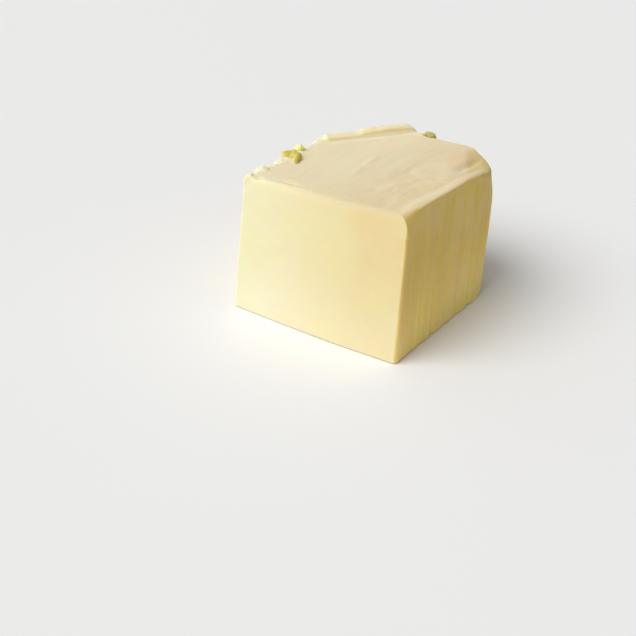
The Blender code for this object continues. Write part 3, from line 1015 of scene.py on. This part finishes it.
def butter_material(name, crumb_colours=None):
    """Butter, painted by place: pale where it is cut, deeper and darker yellow on the old outside, that
    darkness partly painted shade, and beige on top.

    A crumb has two colours of its own instead: one on its sides and one on top, a lighter and a darker tone
    painted as light and shade by the way each part faces."""
    material, nodes, shader, place = new_material(name)
    split = nodes.parts(place)
    facing = nodes.parts(nodes.add("ShaderNodeNewGeometry").outputs["Normal"])
    level = nodes.plus(nodes.times(split["X"], -TOP_RISE_ACROSS), nodes.times(split["Y"], TOP_DROP_BACK))
    below_top = nodes.minus(TOP_MIDDLE, nodes.plus(split["Z"], level))
    ragged = nodes.times(nodes.noise(place, *BORDER_TOP), TOP_RAGGED)
    inside = nodes.fall(split["X"], *INSIDE_X)
    near_top = nodes.fall(nodes.plus(below_top, ragged), *NEAR_TOP)
    upward = nodes.larger(nodes.ramp(facing["Z"], *UPWARD_FACING), nodes.times(near_top, inside))
    streaks_up = nodes.noise(place, *STREAKS_UP)
    streaks_back = nodes.noise(place, *STREAKS_BACK)
    if crumb_colours:
        colour = crumb_colour(nodes, place, split, facing, crumb_colours)
    else:
        wander = nodes.times(nodes.noise(place, *BORDER_CUT), CUT_WANDER)
        cut = nodes.fall(nodes.minus(split["Y"], wander), *CUT_Y)
        cut = nodes.times(cut, nodes.fall(facing["X"], *CUT_FACING_X))
        raised = nodes.times(nodes.fall(below_top, *RAISED), inside)
        left_band = nodes.times(nodes.fall(split["X"], *LEFT_X), near_top)
        behind = nodes.along(place, SCRAPE_WAY)
        scraped = nodes.times(nodes.ramp(behind, *SCRAPED_FROM), nodes.ramp(facing["Z"], *SCRAPED_FACING))
        skin_and_shade = skin_and_shade_colour(nodes, place, split, facing, streaks_up)
        top = top_colour(nodes, place, split, skin_and_shade, streaks_back, left_band, raised, scraped, behind)
        outside = nodes.mix(nodes.larger(upward, scraped), skin_and_shade, top)
        colour = nodes.mix(cut, outside, fresh_colour(nodes, place, split))
        blotches = nodes.ramp(nodes.noise(place, *BLOTCHES), *BLOTCHES_FROM_TO)
        colour = nodes.mix(nodes.times(blotches, BLOTCH_SHARE), colour, CUT_COLOUR)
        # Painted shade along the cut face's top edge, strongest to the right, dulling the light that the edge
        # catches.
        shaded_front_edge = nodes.fall(nodes.times(facing["Y"], facing["Z"]), *FRONT_EDGE_FACING)
        edge_shade_share = nodes.times(nodes.ramp(split["X"], *FRONT_EDGE_X, *FRONT_EDGE_SHADE_SHARES), cut)
        colour = nodes.mix(nodes.times(shaded_front_edge, edge_shade_share), colour, FRONT_EDGE_SHADE)
    pores = nodes.times(nodes.noise(place, *PORES), PORES_SHARE)
    relief = nodes.plus(nodes.mix(upward, streaks_up, streaks_back), pores)
    bump_height = CRUMB_BUMP if crumb_colours else BLOCK_BUMP
    bump = nodes.add("ShaderNodeBump", {"Height": relief, "Strength": BUMP_STRENGTH, "Distance": bump_height})
    nodes.tree.links.new(colour, shader.inputs["Base Color"])
    wet = nodes.ramp(nodes.noise(place, *WET), *WET_FROM_TO, *ROUGHNESS)
    nodes.tree.links.new(wet, shader.inputs["Roughness"])
    nodes.tree.links.new(bump.outputs["Normal"], shader.inputs["Normal"])
    shader.inputs["Subsurface Weight"].default_value = 1.0
    shader.inputs["Subsurface Radius"].default_value = GLOW_COLOURS
    shader.inputs["Subsurface Scale"].default_value = CRUMB_GLOW if crumb_colours else BLOCK_GLOW
    shader.inputs["IOR"].default_value = BUTTER_IOR
    shader.inputs["Specular IOR Level"].default_value = BUTTER_SHINE
    return material


# The floor: its two tones and their noise, its roughness, how wide it is and how far it lies below the block.
FLOOR_COLOURS = ((0.90, 0.90, 0.90, 1.0), (0.92, 0.92, 0.92, 1.0))
FLOOR_NOISE = (3.0, 2.0)
FLOOR_ROUGHNESS = 0.85
FLOOR_HALF = 6.0
FLOOR_DROP = 0.0001


def floor_material():
    """Pale matt paper."""
    material, nodes, shader, place = new_material("floor")
    tone = nodes.mix(nodes.noise(place, *FLOOR_NOISE), *FLOOR_COLOURS)
    nodes.tree.links.new(tone, shader.inputs["Base Color"])
    shader.inputs["Roughness"].default_value = FLOOR_ROUGHNESS
    return material


def pale_floor():
    """The ground that the block stands on."""
    corners = [(x * FLOOR_HALF, y * FLOOR_HALF, -FLOOR_DROP) for x, y in ((-1, -1), (1, -1), (1, 1), (-1, 1))]
    made = smooth_object("floor", corners, [(0, 1, 2, 3)], floor_material())


def sun(name, towards, strength, angle, colour):
    """Soft light that comes from the direction towards."""
    data = bpy.data.lights.new(name, "SUN")
    data.energy = strength
    data.angle = math.radians(angle)
    data.color = colour
    made = bpy.data.objects.new(name, data)
    made.rotation_mode = "QUATERNION"
    made.rotation_quaternion = Vector(towards).to_track_quat("Z", "Y")
    bpy.context.scene.collection.objects.link(made)


# The soft light all around: the way it is strongest from, and its strengths by that way and by the height.
SOFT_LIGHT_WAY = Vector((-0.80, -0.35, 0.50)).normalized()
SOFT_LIGHT_BY_WAY = (-0.7, 0.8, 0.10, 0.41)
SOFT_LIGHT_BY_HEIGHT = (0.0, 0.45, 0.17)


def studio_world():
    """Even soft light, stronger from the left, weaker from the right, and a little stronger from low down."""
    world = bpy.data.worlds.new("studio")
    bpy.context.scene.world = world
    world.use_nodes = True
    nodes = Nodes(world.node_tree)
    way = nodes.add("ShaderNodeTexCoord").outputs["Generated"]
    by_way = nodes.ramp(nodes.along(way, SOFT_LIGHT_WAY), *SOFT_LIGHT_BY_WAY)
    light = nodes.plus(by_way, nodes.fall(nodes.parts(way)["Z"], *SOFT_LIGHT_BY_HEIGHT))
    background = world.node_tree.nodes["Background"]
    world.node_tree.links.new(light, background.inputs["Strength"])
    background.inputs["Color"].default_value = (1.0, 1.0, 1.0, 1.0)


# The camera: where it stands, how it is turned, its lens, and how near and far it sees.
CAMERA_PLACE = Vector((0.2768, -0.5341, 0.3141))
CAMERA_YAW = 0.513583
CAMERA_PITCH = 0.500098
CAMERA_ROLL = 0.083658
CAMERA_LENS = 90.0
CAMERA_SENSOR = 36.0
CAMERA_NEAR = 0.02
CAMERA_FAR = 50.0


def camera():
    """Sets up the camera, turned about its own axis by the roll."""
    data = bpy.data.cameras.new("camera")
    data.lens = CAMERA_LENS
    data.sensor_width = CAMERA_SENSOR
    data.clip_start = CAMERA_NEAR
    data.clip_end = CAMERA_FAR
    made = bpy.data.objects.new("camera", data)
    yaw, pitch, roll = CAMERA_YAW, CAMERA_PITCH, CAMERA_ROLL
    right = Vector((math.cos(yaw), math.sin(yaw), 0.0))
    forward = Vector((-math.sin(yaw) * math.cos(pitch), math.cos(yaw) * math.cos(pitch), -math.sin(pitch)))
    up = right.cross(forward)
    rolled_right = right * math.cos(roll) + up * math.sin(roll)
    rolled_up = up * math.cos(roll) - right * math.sin(roll)
    turn = Matrix((rolled_right, rolled_up, -forward)).transposed()
    made.matrix_world = Matrix.Translation(CAMERA_PLACE) @ turn.to_4x4()
    bpy.context.scene.collection.objects.link(made)
    bpy.context.scene.camera = made


# The crumbs: each one's name, middle, half sizes, turn and place in the noise, and its material's name and
# colours.
CRUMBS = (
    ("crumb_lump", (-0.0362, -0.0068, 0.0583), (0.0018, 0.0023, 0.0017), 0.2, 4.1,
     "butter_lump", LUMP_COLOURS),
    ("crumb_back", (-0.0026, 0.0450, 0.0574), (0.0028, 0.0018, 0.0015), 0.3, 7.9,
     "butter_back", BACK_COLOURS),
)

# The two suns: each one's name, where its light comes from, its strength, its angle in degrees, its colour.
SUNS = (
    ("key", (-0.24, -0.50, 0.70), 2.27, 45.0, (1.0, 0.998, 0.99)),
    ("fill", (0.87, -0.30, 0.25), 0.22, 60.0, (1.0, 0.99, 0.97)),
)

bpy.context.scene.view_settings.view_transform = "Standard"

pieces = [butter_block(butter_material("butter"))]
pieces.append(curl("curl", CURL, butter_material("butter_curl", CURL_COLOURS)))
for *shape, material_name, colours in CRUMBS:
    pieces.append(crumb(*shape, butter_material(material_name, colours)))
for piece in pieces:
    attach(piece, "root")
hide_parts("butter_block")

pale_floor()
studio_world()
for settings in SUNS:
    sun(*settings)
camera()
